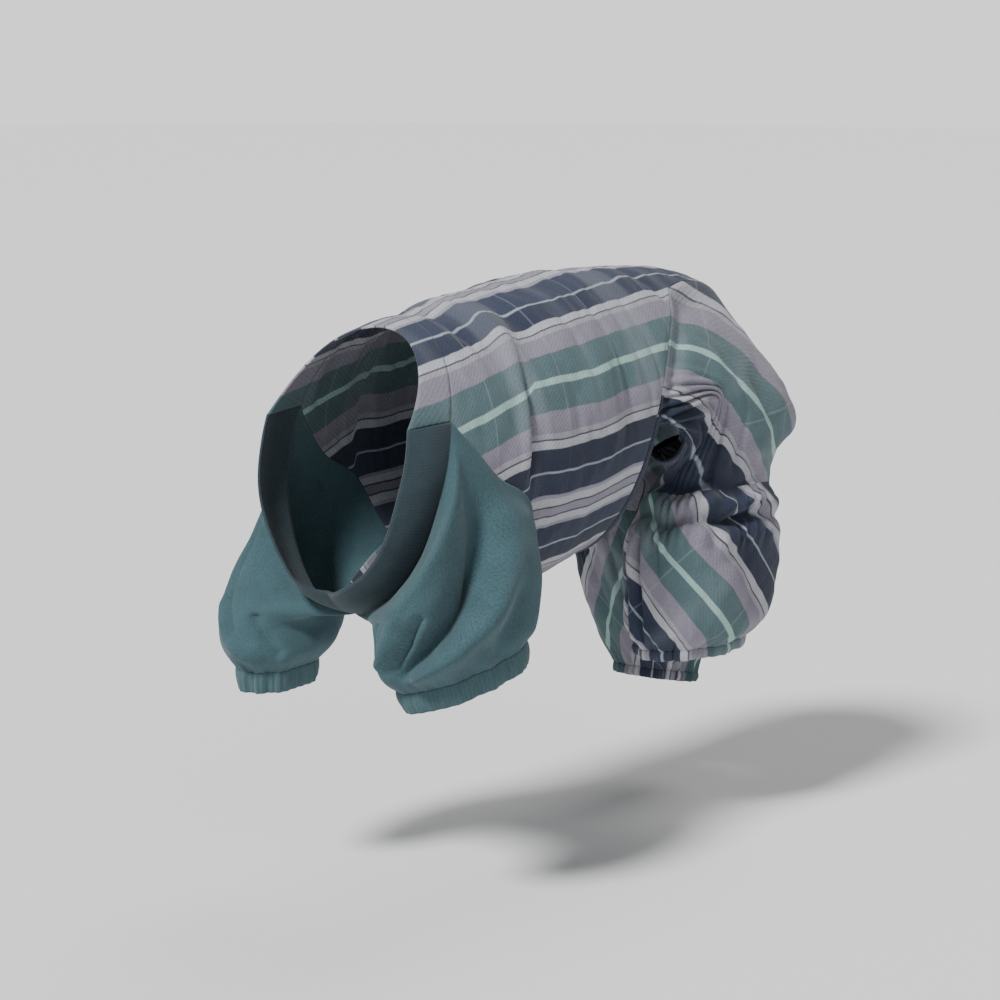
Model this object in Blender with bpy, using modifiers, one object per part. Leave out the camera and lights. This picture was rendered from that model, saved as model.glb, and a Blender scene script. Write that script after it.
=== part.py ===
"""Dog jumpsuit of striped cotton and teal knit, kept in the shape in which it is worn."""
import math

import bmesh
import bpy
import numpy as np

# Sizes in metres. The head end is towards -X, the wearer's left side is -Y.
BACK_LENGTH = 0.424
CHEST_DEPTH = 0.250
CHEST_WIDTH = 0.208
SLEEVE_LENGTH = 0.115
SLEEVE_WIDTH = 0.150
LEG_LENGTH = 0.275
LEG_WIDTH = 0.165
COLLAR_DEPTH = 0.040
BAND_DEPTH = 0.022
CUFF_DEPTH = 0.018
HEM_DEPTH = 0.009
CLOTH = 0.0016
KNIT = 0.0020
SEAM_GAP = 0.0005

# Place of the origin along the back, as a share of BACK_LENGTH from the nape.
ORIGIN_ALONG = 0.415

# Body sections: along as a share of BACK_LENGTH, top and bottom of
# CHEST_DEPTH, half_width of CHEST_WIDTH.
BODY_SECTIONS = (
    (-0.175, -0.176, -1.030, 0.385),
    (-0.083, -0.144, -1.065, 0.433),
    (0.000, -0.112, -1.080, 0.466),
    (0.180, -0.056, -1.075, 0.500),
    (0.415, 0.000, -0.990, 0.495),
    (0.604, 0.000, -0.910, 0.476),
    (0.769, -0.016, -0.860, 0.442),
    (0.910, -0.112, -0.820, 0.375),
    (1.000, -0.300, -0.760, 0.250),
)

# Seams on the left half: along as a share of BACK_LENGTH, turn in degrees
# from the spine.
COLLAR_SEAM = (
    (-0.125, 180), (-0.146, 160), (-0.134, 140), (-0.120, 117), (-0.108, 96), (-0.091, 80), (-0.075, 65))
SHOULDER_SEAM = ((-0.075, 65), (-0.044, 74), (0.020, 90), (0.112, 103), (0.160, 130))
CHEST_SEAM = ((0.160, 130), (0.060, 138), (-0.060, 154), (-0.125, 180))
SIDE_SEAM = ((0.160, 130), (0.280, 112), (0.482, 91))
HIP_SEAM = ((0.482, 91), (0.512, 76), (0.557, 59), (0.655, 31))
RUMP_SEAM = ((0.655, 31), (0.800, 22), (0.965, 18))
NECK_EDGE = 0.0
TAIL_EDGE = 0.975
BELLY_EDGE = 0.430

# Open edge of the left hind leg from the tail to the flank: back as a share
# of BACK_LENGTH, out of CHEST_WIDTH, down of CHEST_DEPTH.
OPEN_EDGE = (
    (0.573, 0.150, 0.360),
    (0.560, 0.165, 0.480),
    (0.515, 0.165, 0.560),
    (0.440, 0.140, 0.610),
    (0.350, 0.130, 0.630),
    (0.270, 0.170, 0.650),
    (0.215, 0.260, 0.660),
    (0.185, 0.350, 0.660),
    (0.175, 0.420, 0.640),
    (0.178, 0.462, 0.590),
    (0.150, 0.475, 0.520),
)

# Limb rings from the seam to the hem: back, out and down from the middle of
# the armhole or leg hole as shares of the limb's length, half_length and
# half_width of its width, then pitch, roll and yaw in degrees.
LEFT_SLEEVE = (
    (-0.157, 0.160, 0.500, 0.530, 0.270, 7, 25, 8),
    (-0.140, 0.150, 0.760, 0.500, 0.260, 11, 8, 8),
    (-0.080, 0.140, 0.880, 0.410, 0.220, 14, 3, 8),
)
RIGHT_SLEEVE = (
    (-0.290, 0.180, 0.610, 0.400, 0.280, 4, 20, 0),
    (-0.353, 0.180, 0.870, 0.370, 0.270, 4, 6, 0),
    (-0.390, 0.180, 1.040, 0.250, 0.180, 4, 3, 0),
)
LEFT_LEG = (
    (0.120, 0.010, 0.340, 0.394, 0.273, 0, 10, 0),
    (0.070, 0.010, 0.490, 0.515, 0.315, 0, 5, 0),
    (0.062, 0.010, 0.672, 0.510, 0.315, 0, 2, 0),
    (0.044, 0.010, 0.806, 0.465, 0.290, 0, 0, 0),
    (0.018, 0.010, 0.856, 0.375, 0.215, 0, 0, 0),
)
RIGHT_LEG = (
    (0.165, 0.010, 0.360, 0.430, 0.270, -8, 10, 0),
    (0.244, 0.010, 0.580, 0.375, 0.280, -10, 5, 0),
    (0.318, 0.010, 0.800, 0.378, 0.270, -12, 2, 0),
    (0.372, 0.010, 0.985, 0.330, 0.240, -12, 0, 0),
    (0.402, 0.010, 1.080, 0.258, 0.205, -12, 0, 0),
)

# Cloth of the left hind leg round the hip: round as a share of the girth from
# the flank, back as a share of BACK_LENGTH, out of CHEST_WIDTH, down of
# CHEST_DEPTH.
HIP_LINE = (
    (0.00, 0.245, 0.522, 0.44),
    (0.10, 0.286, 0.544, 0.42),
    (0.21, 0.354, 0.553, 0.44),
    (0.33, 0.472, 0.519, 0.46),
    (0.42, 0.566, 0.457, 0.54),
    (0.50, 0.601, 0.337, 0.60),
    (0.58, 0.585, 0.202, 0.66),
    (0.68, 0.507, 0.120, 0.70),
    (0.80, 0.330, 0.135, 0.72),
    (0.88, 0.232, 0.295, 0.70),
    (0.95, 0.222, 0.440, 0.595),
    (1.00, 0.245, 0.522, 0.44),
)

# Fold lines on the limbs, a row for each point of a line: fold number, round
# as a share of the girth, down of the length, depth and half_width of the
# limb's width. A depth above nought stands out.
LEFT_SLEEVE_FOLDS = (
    (1, 1.030, 0.04, 0.030, 0.060),
    (1, 0.930, 0.14, 0.045, 0.060),
    (1, 0.870, 0.36, 0.040, 0.060),
    (2, 1.010, 0.12, -0.060, 0.060),
    (2, 0.940, 0.44, -0.085, 0.060),
    (2, 0.780, 0.76, -0.060, 0.060),
    (3, 1.030, 0.28, 0.050, 0.070),
    (3, 0.950, 0.52, 0.060, 0.070),
    (3, 0.810, 0.82, 0.035, 0.060),
    (4, 0.840, 0.50, 0.040, 0.060),
    (4, 0.780, 0.72, 0.030, 0.060),
    (5, 0.150, 0.30, 0.020, 0.070),
    (5, 0.120, 0.80, 0.030, 0.070),
)
RIGHT_SLEEVE_FOLDS = (
    (1, 0.900, 0.30, -0.050, 0.070),
    (1, 0.750, 0.70, -0.050, 0.070),
    (2, 0.120, 0.20, 0.040, 0.070),
    (2, 0.050, 0.80, 0.040, 0.070),
)
LEFT_LEG_FOLDS = (
    (1, 0.350, 0.14, -0.030, 0.060),
    (1, 0.270, 0.24, -0.055, 0.060),
    (2, 0.070, 0.42, 0.025, 0.070),
    (2, 0.130, 0.66, 0.030, 0.070),
    (3, 0.200, 0.42, -0.030, 0.060),
    (3, 0.240, 0.62, -0.020, 0.060),
    (4, 0.300, 0.42, 0.030, 0.070),
    (4, 0.340, 0.70, 0.030, 0.070),
)
RIGHT_LEG_FOLDS = (
    (1, 0.980, 0.40, -0.045, 0.070),
    (1, 0.930, 0.80, -0.045, 0.070),
    (2, 0.060, 0.45, 0.035, 0.070),
    (2, 0.030, 0.85, 0.030, 0.070),
)

# Gathers on the limbs: count round the limb, down and reach as shares of the
# length, depth of the limb's width.
SLEEVE_GATHERS = ((9, 1.00, 0.22, 0.014),)
LEG_GATHERS = ((9, 0.36, 0.08, 0.012), (11, 1.00, 0.14, 0.014))

# Creases across the body: along of BACK_LENGTH, lean of BACK_LENGTH for each
# 90 degrees, turn and reach in degrees, depth of CHEST_DEPTH, half_width of
# BACK_LENGTH.
BODY_CREASES = (
    (0.080, 0.060, 28, 30, -0.016, 0.030),
    (0.130, 0.080, 44, 35, 0.014, 0.030),
    (0.160, -0.100, 38, 22, -0.018, 0.028),
    (0.140, 0.000, 70, 25, -0.014, 0.030),
    (0.300, 0.060, 60, 40, 0.010, 0.045),
    (0.420, 0.050, 52, 26, -0.014, 0.030),
    (0.560, 0.100, 30, 26, 0.012, 0.035),
    (0.080, 0.060, -28, 30, -0.014, 0.030),
    (0.200, 0.080, -55, 35, -0.014, 0.032),
    (0.420, 0.050, -60, 30, -0.014, 0.032),
)

# Collar: place from the V to the nape, forward and inward as shares of
# COLLAR_DEPTH.
COLLAR_LEAN = (
    (0.00, 0.80, 0.55),
    (0.30, 0.85, 0.42),
    (0.60, 0.98, 0.26),
    (1.00, 1.05, 0.18),
)

# Steps of the cloth grids along each seam.
SHOULDER_STEPS = 9
CHEST_STEPS = 6
COLLAR_STEPS = 10
SIDE_STEPS = 8
HIP_STEPS = 8
RUMP_STEPS = 5
OPEN_STEPS = 16
BACK_STEPS = 9
BELLY_STEPS = 7
SLEEVE_ROWS = 12
LEG_ROWS = 13
BAND_ROWS = 3

STRIPED = ("striped cotton", (0.44, 0.48, 0.53, 1.0), 0.92)
TEAL = ("teal knit", (0.20, 0.33, 0.36, 1.0), 0.95)
SLATE = ("slate teal knit", (0.13, 0.22, 0.25, 1.0), 0.95)
CASING = ("elastic casing", (0.30, 0.34, 0.40, 1.0), 0.93)


def smooth(keys, values, place):
    """A soft curve through the values of a table."""
    keys = np.asarray(keys, float)
    values = np.asarray(values, float)
    slopes = np.gradient(values, keys, axis=0)
    place = np.clip(np.asarray(place, float), keys[0], keys[-1])
    i = np.clip(np.searchsorted(keys, place, side="right") - 1, 0, len(keys) - 2)
    h = keys[i + 1] - keys[i]
    s = (place - keys[i]) / h
    for _ in range(values.ndim - 1):
        s = s[..., None]
        h = h[..., None]
    start = (1 + 2 * s) * (1 - s) ** 2 * values[i] + s * (1 - s) ** 2 * h * slopes[i]
    end = s * s * (3 - 2 * s) * values[i + 1] + s * s * (s - 1) * h * slopes[i + 1]
    return start + end


def crease_height(along, turn):
    """How far the creases lift the body cloth."""
    lift = 0.0 * along * turn
    for at, lean, middle, reach, depth, half_width in BODY_CREASES:
        off = (along - at - lean * (turn - middle) / 90) / half_width
        fade = (turn - middle) / reach
        lift = lift + depth * CHEST_DEPTH * np.exp(-off * off - fade * fade)
    return lift


def body_point(along, turn):
    """Middle of the body cloth at a place along the back and a turn from the spine."""
    table = np.array(BODY_SECTIONS)
    row = smooth(table[:, 0], table[:, 1:], along)
    top = row[..., 0] * CHEST_DEPTH
    bottom = row[..., 1] * CHEST_DEPTH
    wide = row[..., 2] * CHEST_WIDTH
    c = np.cos(np.radians(turn))
    s = np.sin(np.radians(turn))
    y = -wide * np.sign(s) * np.abs(s) ** 0.92 * (1 + 0.06 * c)
    z = (top + bottom) / 2 + (top - bottom) / 2 * c + CLOTH / 2
    lift = crease_height(along, turn)
    x = (np.asarray(along) - ORIGIN_ALONG) * BACK_LENGTH
    return np.stack([x + 0 * z, y - lift * s, z + lift * c], -1)


def even(points, count):
    """Evenly spaced points on a line."""
    length = np.concatenate([[0], np.cumsum(np.linalg.norm(np.diff(points, axis=0), axis=1))])
    want = np.linspace(0, length[-1], count + 1)
    return want, length


def seam(rows, count):
    """Evenly spaced places on a seam, as along and turn."""
    rows = np.array(rows, float)
    fine = smooth(np.arange(len(rows)), rows, np.linspace(0, len(rows) - 1, 40 * len(rows)))
    want, length = even(body_point(fine[:, 0], fine[:, 1]), count)
    return np.stack([np.interp(want, length, fine[:, i]) for i in range(2)], -1)


def on_body(places):
    return body_point(places[:, 0], places[:, 1])


def open_edge():
    """The open edge of the left hind leg from the tail to the flank."""
    start = on_body(np.array([RUMP_SEAM[-1]], float))
    end = on_body(np.array([HIP_SEAM[0]], float))
    size = np.array([BACK_LENGTH, -CHEST_WIDTH, -CHEST_DEPTH])
    points = np.vstack([start, np.array(OPEN_EDGE) * size, end])
    keys = even(points, 1)[1]
    fine = smooth(keys, points, np.linspace(0, keys[-1], 600))
    want, length = even(fine, OPEN_STEPS)
    return np.stack([np.interp(want, length, fine[:, i]) for i in range(3)], -1)


def mirrored(grid):
    return grid * np.array([1, -1, 1])


def across(edge, middle, spread, bend):
    """Places from an edge over the middle to the same edge on the other side."""
    t = np.linspace(-1, 1, 2 * spread + 1)
    far = np.abs(t) ** bend
    along = middle[:, None] + (edge[:, 0] - middle)[:, None] * far
    return along, t


def back_grid():
    """Back, flanks and the tongue over the rump, from the neck to the tail."""
    parts = [seam(SHOULDER_SEAM, SHOULDER_STEPS), seam(SIDE_SEAM, SIDE_STEPS)[1:],
             seam(HIP_SEAM, HIP_STEPS)[1:], seam(RUMP_SEAM, RUMP_STEPS)[1:]]
    edge = np.vstack(parts)
    stops = np.cumsum([0, SHOULDER_STEPS, SIDE_STEPS, HIP_STEPS, RUMP_STEPS])
    middle = smooth(stops, [NECK_EDGE, 0.20, 0.44, 0.655, TAIL_EDGE], np.arange(len(edge)))
    along, t = across(edge, middle, BACK_STEPS, 1.4)
    return body_point(along, edge[:, 1][:, None] * t)


def under_grid(edge, middle, power, count):
    """Cloth under the body from a left edge round the belly to the right one."""
    t = np.linspace(0, 2, 2 * count + 1)
    near = np.where(t <= 1, t, 2 - t)
    bend = 1 - (1 - near[None, :]) ** power[:, None]
    along = edge[:, 0][:, None] + (middle - edge[:, 0])[:, None] * bend
    turn = edge[:, 1][:, None] + (180 - edge[:, 1][:, None]) * near[None, :]
    turn = np.where(t[None, :] <= 1, turn, 360 - turn)
    return body_point(along, np.where(turn > 180, turn - 360, turn))


def belly_grid():
    edge = seam(SIDE_SEAM, SIDE_STEPS)
    middle = np.linspace(SIDE_SEAM[0][0], BELLY_EDGE, len(edge))
    return under_grid(edge, middle, np.linspace(1.0, 2.6, len(edge)), BELLY_STEPS)


def chest_grid():
    edge = seam(CHEST_SEAM, CHEST_STEPS)[::-1]
    middle = np.linspace(CHEST_SEAM[-1][0], CHEST_SEAM[0][0], len(edge))
    return under_grid(edge, middle, np.ones(len(edge)), BELLY_STEPS)


def ring(centre, row, round_share, length, width):
    """A tilted oval round a limb, from the front by the outer side to the rear."""
    back, out, down, half_length, half_width, pitch, roll, yaw = row
    p, r, w = math.radians(pitch), math.radians(roll), math.radians(yaw)
    front = np.array([-math.cos(p) * math.cos(w), math.cos(p) * math.sin(w), -math.sin(p)])
    outer = np.array([-math.cos(r) * math.sin(w), -math.cos(r) * math.cos(w), math.sin(r)])
    angle = 2 * math.pi * round_share
    middle = centre + length * np.array([back, -out, -down])
    lengthwise = (np.cos(angle) * half_length * width)[:, None] * front
    sideways = (np.sin(angle) * half_width * width)[:, None] * outer
    return middle + lengthwise + sideways


def fold_height(share, down, folds):
    """How far the fold lines lift the cloth of a limb, as a share of its width."""
    lift = 0.0 * share
    for a, b in zip(folds[:-1], folds[1:]):
        if a[0] != b[0]:
            continue
        way = np.array([(b[1] - a[1]) * 2.6, b[2] - a[2]])
        size = way @ way
        for shift in (-1, 0, 1):
            dx = (share + shift - a[1]) * 2.6
            dy = down - a[2]
            t = np.clip((dx * way[0] + dy * way[1]) / size, 0, 1)
            off = np.hypot(dx - t * way[0], dy - t * way[1])
            depth = a[3] + (b[3] - a[3]) * t
            lift = larger(lift, depth * np.exp(-(off / (1.3 * a[4])) ** 2))
    return lift


def larger(first, second):
    """The stronger of two lifts where they have one sign, else their sum."""
    same = first * second > 0
    strong = np.where(np.abs(first) > np.abs(second), first, second)
    return np.where(same, strong, first + second)


def gather_height(share, down, gathers):
    lift = 0.0 * share
    for count, at, reach, depth in gathers:
        lift = lift + depth * np.cos(2 * math.pi * count * share) * np.exp(-((down - at) / reach) ** 2)
    return lift


def hip_ring(share):
    """The line of the cloth round the hip."""
    table = np.array(HIP_LINE)
    row = smooth(table[:, 0], table[:, 1:], share)
    return row * np.array([BACK_LENGTH, -CHEST_WIDTH, -CHEST_DEPTH])


def limb_grid(loop, start, rings, folds, gathers, rows, size):
    """Cloth of a limb from its seam loop through its rings."""
    length, width = size
    closed = np.vstack([loop, loop[:1]])
    run = even(closed, 1)[1]
    share = run[:-1] / run[-1]
    centre = loop.mean(axis=0)
    keyed = [loop] + [ring(centre, row, share + start, length, width) for row in rings]
    if size[0] == LEG_LENGTH:
        keyed.insert(1, hip_ring(share))
    keyed = np.array(keyed)
    steps = np.linalg.norm(np.diff(keyed, axis=0), axis=-1).mean(axis=1)
    keys = np.concatenate([[0], np.cumsum(steps)])
    grid = smooth(keys, keyed, np.linspace(0, keys[-1], rows + 1))
    down = np.linspace(0, 1, rows + 1)[:, None] + 0 * share[None, :]
    lift = fold_height(share[None, :] + 0 * down, down, folds)
    lift = lift + gather_height(share[None, :] + 0 * down, down, gathers)
    out = grid - grid.mean(axis=1)[:, None, :]
    out = out / np.linalg.norm(out, axis=-1)[..., None]
    rise = np.clip((down - 0.05) / 0.2, 0, 1)
    return grid + out * (lift * rise * width)[..., None]


def sleeve_loop():
    parts = [seam(SHOULDER_SEAM, SHOULDER_STEPS), seam(CHEST_SEAM, CHEST_STEPS), seam(COLLAR_SEAM, COLLAR_STEPS)]
    return np.vstack([on_body(part)[:-1] for part in parts])


def leg_loop():
    parts = [on_body(seam(HIP_SEAM, HIP_STEPS)), on_body(seam(RUMP_SEAM, RUMP_STEPS)), open_edge()]
    return np.vstack([part[:-1] for part in parts])


def sleeve_grid(rings, folds):
    size = (SLEEVE_LENGTH, SLEEVE_WIDTH)
    return limb_grid(sleeve_loop(), 0.25, rings, folds, SLEEVE_GATHERS, SLEEVE_ROWS, size)


def leg_grid(rings, folds):
    size = (LEG_LENGTH, LEG_WIDTH)
    return limb_grid(leg_loop(), 0.06, rings, folds, LEG_GATHERS, LEG_ROWS, size)


def band_below(grid, depth, draw, bulge):
    """A band that follows the last row of a limb, drawn in by the elastic."""
    last = grid[-1]
    middle = last.mean(axis=0)
    u = last[len(last) // 4] - middle
    v = last[0] - middle
    down = np.cross(u, v)
    down = down / np.linalg.norm(down)
    down = down * (1 if down[2] < 0 else -1)
    out = last - middle
    rows = []
    for t in (0.0, 0.5, 1.0):
        swell = bulge * math.sin(math.pi * t)
        rows.append(middle + out * (1 - draw * t) + down * depth * t + out * swell)
    return np.array(rows)


def collar_half():
    """Left half of the collar from the V up to the nape, standing forward of its seam."""
    places = seam(COLLAR_SEAM, COLLAR_STEPS)
    base = on_body(places)
    t = np.linspace(0, 1, len(base))
    table = np.array(COLLAR_LEAN)
    lean = smooth(table[:, 0], table[:, 1:], t)
    axis = np.stack([base[:, 0], 0 * t, 0 * t - 0.60 * CHEST_DEPTH], -1)
    inward = axis - base
    inward = inward / np.linalg.norm(inward, axis=1)[:, None]
    way = lean[:, :1] * np.array([-1.0, 0.0, 0.0]) + lean[:, 1:] * inward
    return base[None] + COLLAR_DEPTH * np.linspace(0, 1, BAND_ROWS + 1)[:, None, None] * way[None]


def neck_band_grid():
    """Striped band round the nape that ends on the two ends of the collar."""
    t = np.linspace(-1, 1, 2 * BACK_STEPS + 1)
    start = NECK_EDGE + (SHOULDER_SEAM[0][0] - NECK_EDGE) * np.abs(t) ** 1.4
    steps = np.linspace(0, BAND_DEPTH / BACK_LENGTH, BAND_ROWS + 1)
    free = np.array([body_point(start - step, SHOULDER_SEAM[0][1] * t) for step in steps])
    end = collar_half()[:, -1]
    reach = end - end[:1]
    held = free[:1] + np.where(t > 0, 1, -1)[None, :, None] * np.array([0, 1, 0]) * reach[:, None, 1:2]
    held = held + reach[:, None] * np.array([1, 0, 1])
    pull = np.abs(t)[None, :, None] ** 3
    return free * (1 - pull) + held * pull


def collar_grid():
    left = collar_half()
    right = mirrored(left)[:, ::-1]
    return np.concatenate([right, left[:, 1:]], axis=1)


def unit(ways):
    return ways / np.linalg.norm(ways, axis=1)[:, None]


def casing(points, ways, clear):
    """Narrow elastic casing that runs out from an open edge."""
    start = points + ways * clear
    return np.array([start + ways * HEM_DEPTH * t for t in (0, 0.5, 1.0)])


def belly_casing(belly):
    """Casing along the rear edge of the belly from flank to flank."""
    points = belly[-1].copy()
    points[0] = points[0] + 0.4 * (points[1] - points[0])
    points[-1] = points[-1] + 0.4 * (points[-2] - points[-1])
    return casing(points, unit(belly[-1] - belly[-2]), 0.0)


def spread_ways(points, ways, reach):
    """Directions that turn softly along a line."""
    run = even(points, 1)[1]
    apart = run[:, None] - run[None, :]
    return unit(np.exp(-(apart / reach) ** 2) @ ways)


def seat_casing(left, right, back):
    """Casing down the inner thighs and across the end of the tongue."""
    first = HIP_STEPS + RUMP_STEPS
    rows = slice(first, len(left[0]) - 2)
    points = [right[0][rows][::-1], back[-1][1:], left[0][rows][1:]]
    ways = [unit((right[0] - right[1])[rows])[::-1], unit(back[-1] - back[-2])[1:],
            unit((left[0] - left[1])[rows])[1:]]
    points = np.vstack(points)
    return casing(points, spread_ways(points, np.vstack(ways), 1.4 * HEM_DEPTH), SEAM_GAP)


def cells(grid, closed):
    """Corner points of each four-sided cell of a grid."""
    rows, columns = grid.shape[:2]
    last = columns if closed else columns - 1
    for i in range(rows - 1):
        for j in range(last):
            k = (j + 1) % columns
            yield grid[i][j], grid[i][k], grid[i + 1][k], grid[i + 1][j]


def point_key(point):
    return tuple(int(round(c * 50000)) for c in point)


def cloth_mesh(grids, closed):
    """One mesh from grids that share their edges."""
    bm = bmesh.new()
    known = {}
    for grid in grids:
        for corners in cells(grid, closed):
            verts = []
            for point in corners:
                key = point_key(point)
                if key not in known:
                    known[key] = bm.verts.new(point)
                if known[key] not in verts:
                    verts.append(known[key])
            if len(verts) > 2:
                bm.faces.new(verts)
    bmesh.ops.recalc_face_normals(bm, faces=bm.faces)
    return bm


def inward_way(vert):
    """Direction from a rim corner into the cloth, square to the rim."""
    inner = [edge.other_vert(vert).co for edge in vert.link_edges if not edge.is_boundary]
    if not inner:
        inner = [face.calc_center_median() for face in vert.link_faces]
    rim = [edge.other_vert(vert).co for edge in vert.link_edges if edge.is_boundary]
    way = sum((point - vert.co for point in inner[1:]), inner[0] - vert.co)
    along = (rim[0] - rim[-1]).normalized()
    way = way - along * way.dot(along)
    return way.normalized()


def rim_ways(pieces):
    """For each point on a rim, the pieces that meet there and their directions."""
    ways = {}
    for name, bm, wall, look in pieces:
        for vert in bm.verts:
            if vert.is_boundary:
                ways.setdefault(point_key(vert.co), []).append((name, inward_way(vert)))
    return ways


def set_back(name, bm, wall, ways):
    """Draw the rim of a cloth back from its seams, more where two cloths fold."""
    moves = []
    for vert in bm.verts:
        if not vert.is_boundary:
            continue
        own = inward_way(vert)
        length = SEAM_GAP / 2
        for other, way in ways[point_key(vert.co)]:
            if other != name:
                half = max(own.angle(way), 1.0) / 2
                length = max(length, (SEAM_GAP / 2 + wall / 2 * math.cos(half)) / math.sin(half))
        moves.append((vert, own * length))
    for vert, move in moves:
        vert.co = vert.co + move


def add_cloth(name, bm, wall, look):
    """A cloth piece with a wall of even thickness."""
    mesh = bpy.data.meshes.new(name)
    bm.to_mesh(mesh)
    bm.free()
    obj = bpy.data.objects.new(name, mesh)
    group = bpy.data.collections.new(name)
    bpy.context.scene.collection.children.link(group)
    group.objects.link(obj)
    for face in mesh.polygons:
        face.use_smooth = True
    solid = obj.modifiers.new("wall", "SOLIDIFY")
    solid.thickness = wall
    solid.offset = 0.0
    solid.use_even_offset = False
    solid.use_quality_normals = True
    dress(obj, look)


def dress(obj, look):
    """Give a piece its own cloth material."""
    label, colour, roughness = look
    material = bpy.data.materials.new(obj.name + " " + label)
    material.use_nodes = True
    shader = material.node_tree.nodes["Principled BSDF"]
    shader.inputs["Base Color"].default_value = colour
    shader.inputs["Roughness"].default_value = roughness
    obj.data.materials.append(material)


def clear_scene():
    for obj in list(bpy.data.objects):
        bpy.data.objects.remove(obj, do_unlink=True)


def body_pieces(back, belly):
    """Striped body, chest panel, nape band and collar."""
    return [
        ("striped_body", cloth_mesh([back, belly], False), CLOTH, STRIPED),
        ("chest_panel", cloth_mesh([chest_grid()], False), CLOTH, STRIPED),
        ("nape_band", cloth_mesh([neck_band_grid()], False), CLOTH, STRIPED),
        ("collar", cloth_mesh([collar_grid()], False), KNIT, SLATE),
    ]


def sleeve_pieces(side, grid):
    """A teal knit sleeve and its cuff."""
    cuff = band_below(grid, CUFF_DEPTH, 0.04, 0.03)
    return [
        ("sleeve_" + side, cloth_mesh([grid], True), KNIT, TEAL),
        ("sleeve_cuff_" + side, cloth_mesh([cuff], True), KNIT, SLATE),
    ]


def leg_pieces(side, grid):
    """A striped hind leg and its narrow hem."""
    hem = band_below(grid, HEM_DEPTH, 0.02, 0.03)
    return [
        ("hind_leg_" + side, cloth_mesh([grid], True), CLOTH, STRIPED),
        ("hind_hem_" + side, cloth_mesh([hem], True), CLOTH, CASING),
    ]


def all_pieces():
    back = back_grid()
    belly = belly_grid()
    left = leg_grid(LEFT_LEG, LEFT_LEG_FOLDS)
    right = mirrored(leg_grid(RIGHT_LEG, RIGHT_LEG_FOLDS))
    pieces = body_pieces(back, belly)
    pieces += sleeve_pieces("left", sleeve_grid(LEFT_SLEEVE, LEFT_SLEEVE_FOLDS))
    pieces += sleeve_pieces("right", mirrored(sleeve_grid(RIGHT_SLEEVE, RIGHT_SLEEVE_FOLDS)))
    pieces += leg_pieces("left", left) + leg_pieces("right", right)
    pieces.append(("belly_hem", cloth_mesh([belly_casing(belly)], False), CLOTH, CASING))
    pieces.append(("seat_hem", cloth_mesh([seat_casing(left, right, back)], False), CLOTH, CASING))
    return pieces


def build():
    """Join the cloth pieces at their seams and give them walls."""
    clear_scene()
    pieces = all_pieces()
    ways = rim_ways(pieces)
    for name, bm, wall, look in pieces:
        set_back(name, bm, wall, ways)
    for name, bm, wall, look in pieces:
        add_cloth(name, bm, wall, look)


build()
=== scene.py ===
"""Looks of the striped dog jumpsuit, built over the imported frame."""
import math

import bpy
import numpy as np
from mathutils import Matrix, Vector, noise


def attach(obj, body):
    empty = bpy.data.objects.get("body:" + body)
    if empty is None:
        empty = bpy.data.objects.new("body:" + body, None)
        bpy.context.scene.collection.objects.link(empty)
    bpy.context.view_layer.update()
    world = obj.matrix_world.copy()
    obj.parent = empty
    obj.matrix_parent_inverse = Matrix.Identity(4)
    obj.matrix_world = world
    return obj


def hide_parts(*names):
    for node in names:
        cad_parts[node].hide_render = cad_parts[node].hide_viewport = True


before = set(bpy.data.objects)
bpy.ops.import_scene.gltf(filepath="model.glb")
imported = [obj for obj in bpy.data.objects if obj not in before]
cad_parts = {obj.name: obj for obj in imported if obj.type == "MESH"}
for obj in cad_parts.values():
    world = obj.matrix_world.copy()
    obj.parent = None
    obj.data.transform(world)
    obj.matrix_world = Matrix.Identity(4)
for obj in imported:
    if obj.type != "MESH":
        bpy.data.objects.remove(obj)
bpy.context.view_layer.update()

# STRIPED BODY
# Back, flanks and belly of one brushed cotton cloth, woven in stripes that run
# from the neck to the tail. It is cut flat, sewn along the belly side lines
# and worn loose, so it lies on the back and creases across the flanks.

BACK_LENGTH = 0.424
CHEST_DEPTH = 0.250
CHEST_WIDTH = 0.208
CLOTH = 0.0016
WOVEN_WALL = 0.0014
ORIGIN_ALONG = 0.415

# along, top, bottom, half_width
BODY_SECTIONS = (
    (-0.175, -0.176, -1.030, 0.385),
    (-0.083, -0.144, -1.065, 0.433),
    (0.000, -0.112, -1.080, 0.466),
    (0.180, -0.056, -1.075, 0.500),
    (0.415, 0.000, -0.990, 0.495),
    (0.604, 0.000, -0.910, 0.476),
    (0.769, -0.016, -0.860, 0.442),
    (0.910, -0.112, -0.820, 0.375),
    (1.000, -0.300, -0.760, 0.250),
)
# along, turn
COLLAR_SEAM = (
    (-0.125, 180), (-0.146, 160), (-0.134, 140), (-0.120, 117), (-0.108, 96), (-0.091, 80), (-0.075, 65))
SHOULDER_SEAM = ((-0.075, 65), (-0.044, 74), (0.020, 90), (0.112, 103), (0.160, 130))
CHEST_SEAM = ((0.160, 130), (0.060, 138), (-0.060, 154), (-0.125, 180))
SIDE_SEAM = ((0.160, 130), (0.280, 112), (0.482, 91))
HIP_SEAM = ((0.482, 91), (0.512, 76), (0.557, 59), (0.655, 31))
RUMP_SEAM = ((0.655, 31), (0.800, 22), (0.965, 18))
NECK_EDGE = 0.0
TAIL_EDGE = 0.975
BELLY_EDGE = 0.430

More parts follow.
